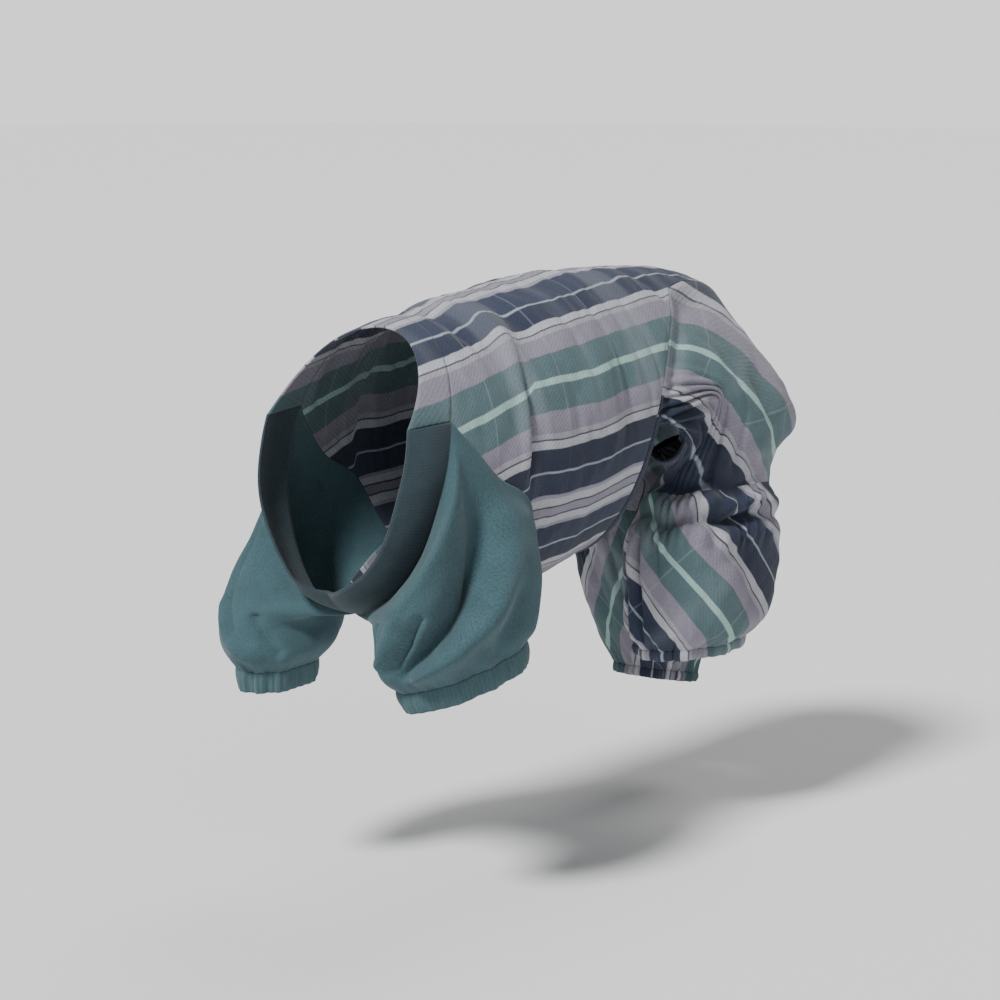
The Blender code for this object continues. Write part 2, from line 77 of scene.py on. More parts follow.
# along, lean, turn, reach, depth, half_width
BODY_CREASES = (
    (0.080, 0.060, 28, 30, -0.016, 0.030),
    (0.130, 0.080, 44, 35, 0.014, 0.030),
    (0.160, -0.100, 38, 22, -0.018, 0.028),
    (0.140, 0.000, 70, 25, -0.014, 0.030),
    (0.300, 0.060, 60, 40, 0.010, 0.045),
    (0.420, 0.050, 52, 26, -0.014, 0.030),
    (0.560, 0.100, 30, 26, 0.012, 0.035),
    (0.080, 0.060, -28, 30, -0.014, 0.030),
    (0.200, 0.080, -55, 35, -0.014, 0.032),
    (0.420, 0.050, -60, 30, -0.014, 0.032),
)
# Narrow creases that the broad ones hold between them.
FINE_CREASES = (
    (0.118, -0.050, 74, 24, -0.020, 0.009),
    (0.098, -0.050, 74, 26, 0.018, 0.013),
    (0.045, 0.050, 30, 18, -0.010, 0.012),
    (0.200, 0.120, 40, 24, -0.006, 0.012),
    (0.235, 0.060, 66, 30, -0.005, 0.014),
    (0.290, 0.050, 52, 26, -0.008, 0.012),
    (0.330, 0.050, 45, 26, 0.006, 0.012),
    (0.390, 0.060, 56, 26, -0.018, 0.011),
    (0.425, 0.060, 56, 26, 0.010, 0.013),
    (0.450, 0.080, 62, 30, -0.006, 0.010),
    (0.500, 0.080, 66, 24, -0.007, 0.009),
    (0.600, 0.050, 26, 14, -0.005, 0.012),
    (0.720, 0.100, 14, 12, -0.004, 0.014),
    (0.100, 0.050, -34, 26, -0.008, 0.012),
    (0.250, 0.070, -50, 30, -0.007, 0.012),
    (0.380, 0.060, -58, 30, -0.008, 0.012),
    (0.480, 0.080, -66, 26, -0.006, 0.010),
)
# along, shift of the stripes down the flank in metres
STRIPE_SHIFT = (
    (-0.10, -0.011), (0.00, -0.014), (0.12, -0.010), (0.20, -0.016), (0.30, -0.020), (0.42, -0.016),
    (0.54, -0.011), (0.66, -0.004))
# Place of the upright fold on the flank by turn, and the step it makes in the stripes.
FOLD_LINE = ((30, 0.175), (50, 0.155), (70, 0.122), (90, 0.108), (110, 0.112), (180, 0.150))
FOLD_SHIFT = ((35, 0.0), (50, -0.003), (65, -0.006), (90, -0.008), (120, -0.008))


def smooth(keys, values, place):
    """A soft curve through the values of a table."""
    keys = np.asarray(keys, float)
    values = np.asarray(values, float)
    slopes = np.gradient(values, keys, axis=0)
    place = np.clip(np.asarray(place, float), keys[0], keys[-1])
    i = np.clip(np.searchsorted(keys, place, side="right") - 1, 0, len(keys) - 2)
    h = keys[i + 1] - keys[i]
    s = (place - keys[i]) / h
    for _ in range(values.ndim - 1):
        s = s[..., None]
        h = h[..., None]
    start = (1 + 2 * s) * (1 - s) ** 2 * values[i] + s * (1 - s) ** 2 * h * slopes[i]
    end = s * s * (3 - 2 * s) * values[i + 1] + s * s * (s - 1) * h * slopes[i + 1]
    return start + end


def crease_height(along, turn, rows):
    lift = 0.0 * along * turn
    for at, lean, middle, reach, depth, half_width in rows:
        off = (along - at - lean * (turn - middle) / 90) / half_width
        fade = (turn - middle) / reach
        lift = lift + depth * CHEST_DEPTH * np.exp(-off * off - fade * fade)
    return lift


def body_point(along, turn, creased=True):
    """Middle of the body cloth at a place along the back and a turn from the spine."""
    table = np.array(BODY_SECTIONS)
    row = smooth(table[:, 0], table[:, 1:], along)
    top = row[..., 0] * CHEST_DEPTH
    bottom = row[..., 1] * CHEST_DEPTH
    wide = row[..., 2] * CHEST_WIDTH
    c = np.cos(np.radians(turn))
    s = np.sin(np.radians(turn))
    y = -wide * np.sign(s) * np.abs(s) ** 0.92 * (1 + 0.06 * c)
    z = (top + bottom) / 2 + (top - bottom) / 2 * c + CLOTH / 2
    lift = crease_height(along, turn, BODY_CREASES) if creased else 0.0
    x = (np.asarray(along) - ORIGIN_ALONG) * BACK_LENGTH
    return np.stack([x + 0 * z, y - lift * s, z + lift * c], -1)


def run_of(points):
    return np.concatenate([[0], np.cumsum(np.linalg.norm(np.diff(points, axis=0), axis=1))])


def seam(rows, count):
    """Evenly spaced places on a seam, as along and turn."""
    rows = np.array(rows, float)
    fine = smooth(np.arange(len(rows)), rows, np.linspace(0, len(rows) - 1, 40 * len(rows)))
    length = run_of(body_point(fine[:, 0], fine[:, 1]))
    want = np.linspace(0, length[-1], count + 1)
    return np.stack([np.interp(want, length, fine[:, i]) for i in range(2)], -1)


def on_body(places):
    return body_point(places[:, 0], places[:, 1])


def arc_table():
    """Length of the cloth from the spine to each turn, for sections along the back."""
    alongs = np.linspace(-0.18, 1.0, 60)
    turns = np.linspace(0, 180, 181)
    arcs = []
    for along in alongs:
        points = body_point(np.full(181, along), turns, False)
        arcs.append(run_of(points))
    return alongs, np.array(arcs)


ARC_ALONGS, ARCS = arc_table()


def arc_of(along, turn):
    """Length of cloth from the spine, above nought on the left side."""
    i = np.clip((along - ARC_ALONGS[0]) / (ARC_ALONGS[1] - ARC_ALONGS[0]), 0, len(ARC_ALONGS) - 1.001)
    low = i.astype(int)
    part = i - low
    t = np.clip(np.abs(turn), 0, 179.99)
    j = t.astype(int)
    f = t - j
    first = ARCS[low, j] * (1 - f) + ARCS[low, j + 1] * f
    second = ARCS[low + 1, j] * (1 - f) + ARCS[low + 1, j + 1] * f
    return np.sign(turn + 1e-9) * (first * (1 - part) + second * part)


def stripe_place(along, turn):
    """Where the body cloth lies in its woven stripes: across and along, in metres."""
    across = arc_of(along, turn)
    line = np.interp(np.abs(turn), [row[0] for row in FOLD_LINE], [row[1] for row in FOLD_LINE])
    shift = np.interp(np.abs(turn), [row[0] for row in FOLD_SHIFT], [row[1] for row in FOLD_SHIFT])
    near = 1 / (1 + np.exp(np.clip((along - line) / 0.0015, -60, 60)))
    table = np.array(STRIPE_SHIFT)
    drop = np.interp(along, table[:, 0], table[:, 1]) * np.clip(np.abs(across) / 0.05, 0, 1)
    return np.stack([across + np.sign(across) * (drop + shift * near), along * BACK_LENGTH + 0 * across], -1)


def normals_of(grid, closed):
    if closed:
        around = np.concatenate([grid[:, -1:], grid, grid[:, :1]], axis=1)
        du = around[:, 2:] - around[:, :-2]
    else:
        du = np.gradient(grid, axis=1)
    dv = np.gradient(grid, axis=0)
    normal = np.cross(du, dv)
    size = np.linalg.norm(normal, axis=-1)[..., None]
    normal = normal / np.maximum(size, 1e-12)
    away = np.sum(normal * (grid - grid.mean(axis=(0, 1))), axis=-1)
    return normal * (1 if np.median(away) > 0 else -1)


def crumple(grid, size, depth, seed, stretch=(1.0, 1.0, 1.0)):
    """Small soft unevenness of worn cloth."""
    scale = np.array(stretch) / size
    flat = grid.reshape(-1, 3) * scale + np.array([7.3 * seed, 3.1 * seed, 5.7])
    values = [noise.noise(Vector(p)) + 0.5 * noise.noise(Vector(p * 2.1)) for p in flat]
    return depth * np.array(values).reshape(grid.shape[:2])


def raised(grid, lift, closed=False):
    return grid + normals_of(grid, closed) * lift[..., None]


# Steps in a metre to which points are rounded when patches are joined.
JOIN_STEPS = 50000


def cloth_mesh(name, patches, closed, wall):
    """A cloth piece from patches of points and woven places that share edges."""
    known = {}
    points = []
    faces = []
    woven = []
    for grid, places in patches:
        rows, columns = grid.shape[:2]
        ids = np.zeros((rows, columns), int)
        for i in range(rows):
            for j in range(columns):
                key = tuple(np.round(grid[i, j] * JOIN_STEPS).astype(int))
                if key not in known:
                    known[key] = len(points)
                    points.append(tuple(grid[i, j]))
                ids[i, j] = known[key]
        last = columns if closed else columns - 1
        for i in range(rows - 1):
            for j in range(last):
                k = (j + 1) % columns
                face = [ids[i, j], ids[i, k], ids[i + 1, k], ids[i + 1, j]]
                spots = [places[i, j], places[i, j + 1], places[i + 1, j + 1], places[i + 1, j]]
                keep = [n for n in range(4) if face[n] not in face[:n]]
                if len(keep) > 2:
                    faces.append([int(face[n]) for n in keep])
                    woven.extend([spots[n] for n in keep])
    mesh = bpy.data.meshes.new(name)
    mesh.from_pydata(points, [], faces)
    layer = mesh.uv_layers.new(name="woven")
    layer.data.foreach_set("uv", np.array(woven, float).ravel())
    mesh.polygons.foreach_set("use_smooth", [True] * len(mesh.polygons))
    obj = bpy.data.objects.new(name, mesh)
    bpy.context.scene.collection.objects.link(obj)
    solid = obj.modifiers.new("wall", "SOLIDIFY")
    solid.thickness = wall
    solid.offset = 0.0
    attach(obj, "root")
    return obj


def colour(code):
    """A hex colour as the eye sees it, turned linear."""
    parts = [int(code[i:i + 2], 16) / 255 for i in (1, 3, 5)]
    return tuple(c / 12.92 if c <= 0.04045 else ((c + 0.055) / 1.055) ** 2.4 for c in parts) + (1.0,)


def node(tree, kind, links=None, **settings):
    """A node with its settings and the sockets that feed it."""
    made = tree.nodes.new(kind)
    for name, value in settings.items():
        setattr(made, name, value)
    for socket, source in (links or {}).items():
        target = made.inputs[socket]
        if hasattr(source, "is_output"):
            tree.links.new(source, target)
        else:
            target.default_value = source
    return made


# Bands of half the stripe repeat from its middle: width in mm and colour.
STRIPE_BANDS = (
    (3.6, "#8a8794"),
    (1.3, "#373a44"),
    (6.6, "#acadb4"),
    (3.0, "#8f8e9a"),
    (18.4, "#333b4e"),
    (1.9, "#949ba5"),
    (19.3, "#2e3547"),
    (7.0, "#a9aab1"),
    (1.3, "#3c3e48"),
    (4.5, "#95949d"),
    (16.6, "#7f7b88"),
    (21.5, "#4d6367"),
    (2.9, "#93b2ac"),
)
REPEAT = 2 * sum(width for width, code in STRIPE_BANDS) / 1000
# Pale weft bands cross the stripes: half their repeat and its start, in metres.
WEFT_HALF = 0.075
WEFT_START = 0.101
# place in half the repeat, how much pale weft shows
WEFT_BANDS = (
    (0.00, 0.17),
    (0.20, 0.15),
    (0.27, 0.02),
    (0.52, 0.0),
    (0.535, 0.25),
    (0.55, 0.0),
    (0.85, 0.0),
    (1.00, 0.08),
)
PALE_WEFT = "#a4a8b2"
# Distances from the spine between which painted shade darkens the cloth on the flanks and the pale weft
# fades.
SHADE_FROM = 0.135
SHADE_FULL = 0.160


def fill_bands(ramp, bands, soft):
    """Colour bands on a ramp with slightly soft edges."""
    total = sum(width for width, code in bands)
    stops = []
    at = 0.0
    for width, code in bands:
        stops.append(((at + soft) / total, code))
        at += width
        stops.append(((at - soft) / total, code))
    ramp.elements[0].position = 0.0
    ramp.elements[0].color = colour(stops[0][1])
    ramp.elements[1].position = 1.0
    ramp.elements[1].color = colour(stops[-1][1])
    for place, code in stops[1:-1]:
        ramp.elements.new(place).color = colour(code)


def striped_cotton(name):
    """Brushed striped cotton: matt, softly mottled threads, faint pale weft bands.

    The ramp gives the stripes, the fine noise the yarns and their nap, the coarse
    noise the wear, and the waves the twill. Painted shade darkens the stripes on the flanks.
    """
    material = bpy.data.materials.new(name)
    material.use_nodes = True
    tree = material.node_tree
    shader = tree.nodes["Principled BSDF"]
    spot = node(tree, "ShaderNodeUVMap", uv_map="woven")
    wobble = node(tree, "ShaderNodeTexNoise", {"Vector": spot.outputs[0], "Scale": 18.0, "Detail": 2.0})
    shift = node(tree, "ShaderNodeMath", {0: wobble.outputs[0], 1: 0.5}, operation="SUBTRACT")
    shift = node(tree, "ShaderNodeMath", {0: shift.outputs[0], 1: 0.006}, operation="MULTIPLY")
    parts = node(tree, "ShaderNodeSeparateXYZ", {0: spot.outputs[0]})
    across = node(tree, "ShaderNodeMath", {0: parts.outputs[0], 1: shift.outputs[0]}, operation="ADD")
    folded = node(tree, "ShaderNodeMath", {0: across.outputs[0], 1: REPEAT / 2}, operation="PINGPONG")
    share = node(tree, "ShaderNodeMath", {0: folded.outputs[0], 1: 2 / REPEAT}, operation="MULTIPLY")
    bands = node(tree, "ShaderNodeValToRGB", {"Fac": share.outputs[0]})
    fill_bands(bands.color_ramp, STRIPE_BANDS, 0.35)
    weft = node(tree, "ShaderNodeMath", {0: parts.outputs[1], 1: WEFT_START}, operation="ADD")
    weft = node(tree, "ShaderNodeMath", {0: weft.outputs[0], 1: WEFT_HALF}, operation="PINGPONG")
    weft = node(tree, "ShaderNodeMath", {0: weft.outputs[0], 1: 1 / WEFT_HALF}, operation="MULTIPLY")
    pale = node(tree, "ShaderNodeValToRGB", {"Fac": weft.outputs[0]})
    ramp = pale.color_ramp
    for element, (place, value) in zip(ramp.elements, (WEFT_BANDS[0], WEFT_BANDS[-1])):
        element.position = place
        element.color = (value, value, value, 1)
    for place, value in WEFT_BANDS[1:-1]:
        ramp.elements.new(place).color = (value, value, value, 1)
    weave = node(tree, "ShaderNodeTexNoise", {"Vector": spot.outputs[0], "Scale": 620.0, "Detail": 3.0,
                                              "Roughness": 0.7})
    blotch = node(tree, "ShaderNodeTexNoise", {"Vector": spot.outputs[0], "Scale": 45.0, "Detail": 3.0})
    # Painted shade: away from the spine a gamma darkens the stripes on the flanks, where less light falls,
    # and the pale weft is faded there too.
    far = node(tree, "ShaderNodeMath", {0: parts.outputs[0]}, operation="ABSOLUTE")
    flank = node(tree, "ShaderNodeMapRange", {"Value": far.outputs[0], "From Min": SHADE_FROM,
                                              "From Max": SHADE_FULL})
    keep = node(tree, "ShaderNodeMapRange", {"Value": flank.outputs[0], "To Min": 1.0, "To Max": 0.15})
    fade = node(tree, "ShaderNodeMath", {0: pale.outputs[0], 1: keep.outputs[0]}, operation="MULTIPLY")
    flank_shade = node(tree, "ShaderNodeMapRange", {"Value": flank.outputs[0], "To Min": 1.0, "To Max": 1.12})
    shaded_bands = node(tree, "ShaderNodeGamma", {0: bands.outputs[0], 1: flank_shade.outputs[0]})
    faded = node(tree, "ShaderNodeMix", {0: fade.outputs[0], 6: shaded_bands.outputs[0], 7: colour(PALE_WEFT)},
                 data_type="RGBA")
    light = node(tree, "ShaderNodeMapRange", {"Value": weave.outputs[0], "From Min": 0.3, "From Max": 0.7,
                                              "To Min": 0.80, "To Max": 1.16})
    worn = node(tree, "ShaderNodeMapRange", {"Value": blotch.outputs[0], "From Min": 0.3, "From Max": 0.7,
                                             "To Min": 0.93, "To Max": 1.07})
    both = node(tree, "ShaderNodeMath", {0: light.outputs[0], 1: worn.outputs[0]}, operation="MULTIPLY")
    tint = node(tree, "ShaderNodeVectorMath", {0: faded.outputs[2]}, operation="SCALE")
    tree.links.new(both.outputs[0], tint.inputs["Scale"])
    tree.links.new(tint.outputs[0], shader.inputs["Base Color"])
    twill = node(tree, "ShaderNodeTexWave", {"Vector": spot.outputs[0], "Scale": 150.0, "Distortion": 1.2,
                                             "Detail": 1.0}, wave_type="BANDS", bands_direction="DIAGONAL")
    bump = node(tree, "ShaderNodeBump", {"Height": twill.outputs[1], "Strength": 0.25, "Distance": 0.0006})
    nap = node(tree, "ShaderNodeBump", {"Height": weave.outputs[0], "Strength": 0.35, "Distance": 0.0008,
                                        "Normal": bump.outputs[0]})
    tree.links.new(nap.outputs[0], shader.inputs["Normal"])
    shader.inputs["Roughness"].default_value = 0.92
    shader.inputs["Specular IOR Level"].default_value = 0.2
    shader.inputs["Sheen Weight"].default_value = 0.10
    shader.inputs["Sheen Roughness"].default_value = 0.6
    return material


cotton = striped_cotton("brushed_striped_cotton")

FINE = 8
SHOULDER_STEPS = 9 * FINE
SIDE_STEPS = 8 * FINE
HIP_STEPS = 8 * FINE
RUMP_STEPS = 5 * FINE
CHEST_STEPS = 6 * FINE
COLLAR_STEPS = 10 * FINE
OPEN_STEPS = 16 * FINE
BACK_STEPS = 9 * FINE
BELLY_STEPS = 7 * FINE
RIM_STEPS = 6
# size, depth, seed, stretch
BODY_CRUMPLES = (
    (0.045, 0.0027, 1, (1.7, 0.7, 0.6)),
    (0.014, 0.0007, 2, (1.5, 0.8, 0.6)),
)


def back_places():
    parts = [seam(SHOULDER_SEAM, SHOULDER_STEPS), seam(SIDE_SEAM, SIDE_STEPS)[1:],
             seam(HIP_SEAM, HIP_STEPS)[1:], seam(RUMP_SEAM, RUMP_STEPS)[1:]]
    edge = np.vstack(parts)
    stops = np.cumsum([0, SHOULDER_STEPS, SIDE_STEPS, HIP_STEPS, RUMP_STEPS])
    middle = smooth(stops, [NECK_EDGE, 0.20, 0.44, 0.655, TAIL_EDGE], np.arange(len(edge)))
    t = np.linspace(-1, 1, 2 * BACK_STEPS + 1)
    along = middle[:, None] + (edge[:, 0] - middle)[:, None] * np.abs(t) ** 1.4
    return along, edge[:, 1][:, None] * t


def under_places(edge, middle, power, count):
    t = np.linspace(0, 2, 2 * count + 1)
    near = np.where(t <= 1, t, 2 - t)
    bend = 1 - (1 - near[None, :]) ** power[:, None]
    along = edge[:, 0][:, None] + (middle - edge[:, 0])[:, None] * bend
    turn = edge[:, 1][:, None] + (180 - edge[:, 1][:, None]) * near[None, :]
    turn = np.where(t[None, :] <= 1, turn, 360 - turn)
    return along, np.where(turn > 180, turn - 360, turn)


def edge_fade(rows, columns):
    """One inside the cloth and nought at its rim, so that seams stay closed."""
    i = np.minimum(np.arange(rows), np.arange(rows)[::-1]) / RIM_STEPS
    j = np.minimum(np.arange(columns), np.arange(columns)[::-1]) / RIM_STEPS
    return np.clip(i, 0, 1)[:, None] * np.clip(j, 0, 1)[None, :]


def body_patch(along, turn, under):
    grid = body_point(along, turn)
    lift = crease_height(along, turn, FINE_CREASES)
    for row in BODY_CRUMPLES:
        lift = lift + crumple(grid, *row)
    lift = lift * edge_fade(*along.shape)
    if under:
        lift = lift * 0.5
    return raised(grid, lift), stripe_place(along, turn)


back_along, back_turn = back_places()
side = seam(SIDE_SEAM, SIDE_STEPS)
belly_middle = np.linspace(SIDE_SEAM[0][0], BELLY_EDGE, len(side))
belly_along, belly_turn = under_places(side, belly_middle, np.linspace(1.0, 2.6, len(side)), BELLY_STEPS)
back_patch = body_patch(back_along, back_turn, False)
belly_patch = body_patch(belly_along, belly_turn, True)
body = cloth_mesh("body_cloth", [back_patch, belly_patch], False, WOVEN_WALL)
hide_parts("striped_body")
body.data.materials.append(cotton)

# CHEST PANEL
# A small striped gusset between the sleeves under the chest, cut across the
# grain, so its stripes run from side to side.

chest_edge = seam(CHEST_SEAM, CHEST_STEPS)[::-1]
chest_middle = np.linspace(CHEST_SEAM[-1][0], CHEST_SEAM[0][0], len(chest_edge))
chest_along, chest_turn = under_places(chest_edge, chest_middle, np.ones(len(chest_edge)), BELLY_STEPS)
chest_grid = body_point(chest_along, chest_turn)
chest_woven = np.stack([(chest_along + 0.10) * BACK_LENGTH, arc_of(chest_along, chest_turn)], -1)
chest = cloth_mesh("chest_cloth", [(chest_grid, chest_woven)], False, WOVEN_WALL)
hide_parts("chest_panel")
chest.data.materials.append(cotton)

# COLLAR
# A flat knit band doubled over and sewn on, meeting in a V under the chest.
# Its ribs run across it, and it stands forward round the neck.

COLLAR_DEPTH = 0.040
BAND_DEPTH = 0.022
# place from the V, forward, inward
COLLAR_LEAN = (
    (0.00, 0.80, 0.55),
    (0.30, 0.85, 0.42),
    (0.60, 0.98, 0.26),
    (1.00, 1.05, 0.18),
)
COLLAR_ROWS = 14
COLLAR_SWELL = 0.0042
RIB_WALL = 0.0022


def collar_half(rows):
    base = on_body(seam(COLLAR_SEAM, COLLAR_STEPS))
    t = np.linspace(0, 1, len(base))
    table = np.array(COLLAR_LEAN)
    lean = smooth(table[:, 0], table[:, 1:], t)
    axis = np.stack([base[:, 0], 0 * t, 0 * t - 0.60 * CHEST_DEPTH], -1)
    inward = axis - base
    inward = inward / np.linalg.norm(inward, axis=1)[:, None]
    way = lean[:, :1] * np.array([-1.0, 0.0, 0.0]) + lean[:, 1:] * inward
    return base[None] + COLLAR_DEPTH * np.linspace(0, 1, rows + 1)[:, None, None] * way[None]


def mirrored(grid):
    return grid * np.array([1, -1, 1])


def knit_fabric(name, base, deep, rib, relief):
    """Soft brushed knit with fine ribs: matt and fuzzy, its rib grooves darkened by painted shade.

    The waves give the ribs and the painted shade in their grooves, the fine noise the loops,
    their fuzz and a random tone, and the coarse noise the wear.
    """
    material = bpy.data.materials.new(name)
    material.use_nodes = True
    tree = material.node_tree
    shader = tree.nodes["Principled BSDF"]
    spot = node(tree, "ShaderNodeUVMap", uv_map="woven")
    ribs = node(tree, "ShaderNodeTexWave", {"Vector": spot.outputs[0], "Scale": 0.314 / rib,
                                            "Distortion": 0.6, "Detail": 1.0, "Detail Scale": 40.0},
                wave_type="BANDS", bands_direction="X")
    loops = node(tree, "ShaderNodeTexNoise", {"Vector": spot.outputs[0], "Scale": 700.0, "Detail": 3.0,
                                              "Roughness": 0.7})
    blotch = node(tree, "ShaderNodeTexNoise", {"Vector": spot.outputs[0], "Scale": 60.0, "Detail": 4.0})
    # Painted shade: the rib waves darken the colour towards the deep tone in the grooves, and the loop noise
    # adds a random tone.
    groove_shade_and_tone = node(tree, "ShaderNodeMath", {0: ribs.outputs[1], 1: relief}, operation="MULTIPLY")
    groove_shade_and_tone = node(tree, "ShaderNodeMath", {0: groove_shade_and_tone.outputs[0], 1: loops.outputs[0]}, operation="ADD")
    mixed = node(tree, "ShaderNodeMix", {0: groove_shade_and_tone.outputs[0], 6: colour(deep), 7: colour(base)},
                 data_type="RGBA")
    worn = node(tree, "ShaderNodeMapRange", {"Value": blotch.outputs[0], "From Min": 0.3, "From Max": 0.7,
                                             "To Min": 0.90, "To Max": 1.10})
    tint = node(tree, "ShaderNodeVectorMath", {0: mixed.outputs[2]}, operation="SCALE")
    tree.links.new(worn.outputs[0], tint.inputs["Scale"])
    tree.links.new(tint.outputs[0], shader.inputs["Base Color"])
    bump = node(tree, "ShaderNodeBump", {"Height": ribs.outputs[1], "Strength": relief, "Distance": 0.0010})
    fuzz = node(tree, "ShaderNodeBump", {"Height": loops.outputs[0], "Strength": 0.4, "Distance": 0.0008,
                                         "Normal": bump.outputs[0]})
    tree.links.new(fuzz.outputs[0], shader.inputs["Normal"])
    shader.inputs["Roughness"].default_value = 0.95
    shader.inputs["Specular IOR Level"].default_value = 0.15
    shader.inputs["Sheen Weight"].default_value = 0.12
    shader.inputs["Sheen Roughness"].default_value = 0.5
    return material


slate_knit = knit_fabric("slate_rib_knit", "#3d4c53", "#1b252a", 0.0026, 0.12)

left_collar = collar_half(COLLAR_ROWS)
collar_grid = np.concatenate([mirrored(left_collar)[:, ::-1], left_collar[:, 1:]], axis=1)
collar_run = run_of(collar_grid[0])
collar_rise = np.linspace(0, COLLAR_DEPTH, COLLAR_ROWS + 1)
swell = COLLAR_SWELL * np.sin(math.pi * np.linspace(0, 1, COLLAR_ROWS + 1))[:, None] + 0 * collar_run[None]
collar_grid = raised(collar_grid, swell)
collar_woven = np.stack(np.broadcast_arrays(collar_run[None, :], collar_rise[:, None]), -1)
collar = cloth_mesh("collar_band", [(collar_grid, collar_woven)], False, RIB_WALL)
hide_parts("collar")
collar.data.materials.append(slate_knit)

# NAPE BAND
# The striped strip that closes the neckline over the nape, between the two
# ends of the collar, folded under at its front edge.

TURNED_WALL = 0.0018
NAPE_ROWS = 10


def nape_grid(rows):
    t = np.linspace(-1, 1, 2 * BACK_STEPS + 1)
    start = NECK_EDGE + (SHOULDER_SEAM[0][0] - NECK_EDGE) * np.abs(t) ** 1.4
    steps = np.linspace(0, BAND_DEPTH / BACK_LENGTH, rows + 1)
    turn = SHOULDER_SEAM[0][1] * t
    free = np.array([body_point(start - step, turn) for step in steps])
    woven = np.array([stripe_place(start - step, turn) for step in steps])
    end = collar_half(rows)[:, -1]
    reach = end - end[:1]
    held = free[:1] + np.where(t > 0, 1, -1)[None, :, None] * np.array([0, 1, 0]) * reach[:, None, 1:2]
    held = held + reach[:, None] * np.array([1, 0, 1])
    pull = np.abs(t)[None, :, None] ** 3
    return free * (1 - pull) + held * pull, woven


nape_points, nape_woven = nape_grid(NAPE_ROWS)
nape = cloth_mesh("nape_cloth", [(nape_points, nape_woven)], False, TURNED_WALL)
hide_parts("nape_band")
nape.data.materials.append(cotton)

# SLEEVES
# Wide raglan sleeves of teal knit, sewn to the body along the shoulder and
# chest seams. They hang from the shoulder, so the cloth falls in deep folds.

SLEEVE_LENGTH = 0.115
SLEEVE_WIDTH = 0.150
SLEEVE_WALL = 0.0018
# The knit's own girth and length, for its ribs.
SLEEVE_GIRTH = 0.36
SLEEVE_CLOTH = 0.13
CUFF_DEPTH = 0.018
CUFF_GIRTH = 0.30
CUFF_ROWS = 10
CUFF_RIBS = 48
# back, out, down, half_length, half_width, pitch, roll, yaw
LEFT_SLEEVE = (
    (-0.157, 0.160, 0.500, 0.530, 0.270, 7, 25, 8),
    (-0.140, 0.150, 0.760, 0.500, 0.260, 11, 8, 8),
    (-0.080, 0.140, 0.880, 0.410, 0.220, 14, 3, 8),
)
RIGHT_SLEEVE = (
    (-0.290, 0.180, 0.610, 0.400, 0.280, 4, 20, 0),
    (-0.353, 0.180, 0.870, 0.370, 0.270, 4, 6, 0),
    (-0.390, 0.180, 1.040, 0.250, 0.180, 4, 3, 0),
)
# Each fold follows a line of places round and down the limb, as shares of its girth and length.
# fold, round, down, depth, half_width
LEFT_SLEEVE_FOLDS = (
    (1, 1.005, 0.06, 0.035, 0.040),
    (1, 0.965, 0.18, 0.060, 0.045),
    (1, 0.910, 0.30, 0.065, 0.050),
    (1, 0.850, 0.41, 0.050, 0.050),
    (1, 0.795, 0.48, 0.025, 0.045),
    (2, 1.065, 0.08, -0.100, 0.070),
    (2, 1.030, 0.28, -0.200, 0.092),
    (2, 0.992, 0.41, -0.225, 0.090),
    (2, 0.948, 0.54, -0.215, 0.076),
    (2, 0.906, 0.66, -0.190, 0.058),
    (2, 0.858, 0.75, -0.150, 0.045),
    (2, 0.800, 0.83, -0.090, 0.038),
    (3, 1.160, 0.08, 0.030, 0.070),
    (3, 1.110, 0.34, 0.045, 0.070),
    (3, 1.065, 0.52, 0.055, 0.065),
    (3, 1.005, 0.68, 0.065, 0.055),
    (3, 0.940, 0.80, 0.065, 0.048),
    (3, 0.850, 0.88, 0.055, 0.040),
    (4, 0.860, 0.58, -0.060, 0.024),
    (4, 0.827, 0.68, -0.100, 0.024),
    (4, 0.780, 0.78, -0.080, 0.024),
    (5, 0.815, 0.54, 0.045, 0.034),
    (5, 0.760, 0.74, 0.045, 0.036),
    (6, 0.190, 0.10, 0.015, 0.060),
    (6, 0.150, 0.50, 0.030, 0.060),
    (6, 0.120, 0.85, 0.030, 0.060),
    (7, 0.110, 0.30, -0.015, 0.050),
    (7, 0.060, 0.62, -0.025, 0.055),
    (7, 0.020, 0.88, -0.020, 0.050),
    (8, 0.720, 0.50, -0.040, 0.040),
    (8, 0.690, 0.80, -0.045, 0.040),
    (9, 0.300, 0.30, -0.040, 0.055),
    (9, 0.330, 0.80, -0.040, 0.055),
)
RIGHT_SLEEVE_FOLDS = (
    (1, 0.900, 0.30, -0.060, 0.050),
    (1, 0.750, 0.70, -0.060, 0.050),
    (2, 0.120, 0.20, 0.045, 0.060),
    (2, 0.050, 0.80, 0.045, 0.060),
    (3, 0.820, 0.60, 0.035, 0.045),
    (3, 0.700, 0.84, 0.035, 0.045),
    (4, 0.980, 0.40, -0.040, 0.035),
    (4, 0.860, 0.88, -0.040, 0.035),
    (5, 0.680, 0.55, -0.035, 0.035),
    (5, 0.600, 0.80, -0.035, 0.035),
)
# count, down, reach, depth
SLEEVE_GATHERS = ((9, 1.00, 0.22, 0.010), (31, 1.00, 0.10, 0.004))
SLEEVE_ROWS = 12 * FINE
# Girth of a limb over its length, so that a fold is as wide round as down.
ROUNDNESS = 2.6


def ring(centre, row, share, length, width):
    """A tilted oval round a limb, from the front by the outer side to the rear."""
    back, out, down, half_length, half_width, pitch, roll, yaw = row
    p, r, w = math.radians(pitch), math.radians(roll), math.radians(yaw)
    front = np.array([-math.cos(p) * math.cos(w), math.cos(p) * math.sin(w), -math.sin(p)])
    outer = np.array([-math.cos(r) * math.sin(w), -math.cos(r) * math.cos(w), math.sin(r)])
    angle = 2 * math.pi * share
    middle = centre + length * np.array([back, -out, -down])
    lengthwise = (np.cos(angle) * half_length * width)[:, None] * front
    sideways = (np.sin(angle) * half_width * width)[:, None] * outer
    return middle + lengthwise + sideways


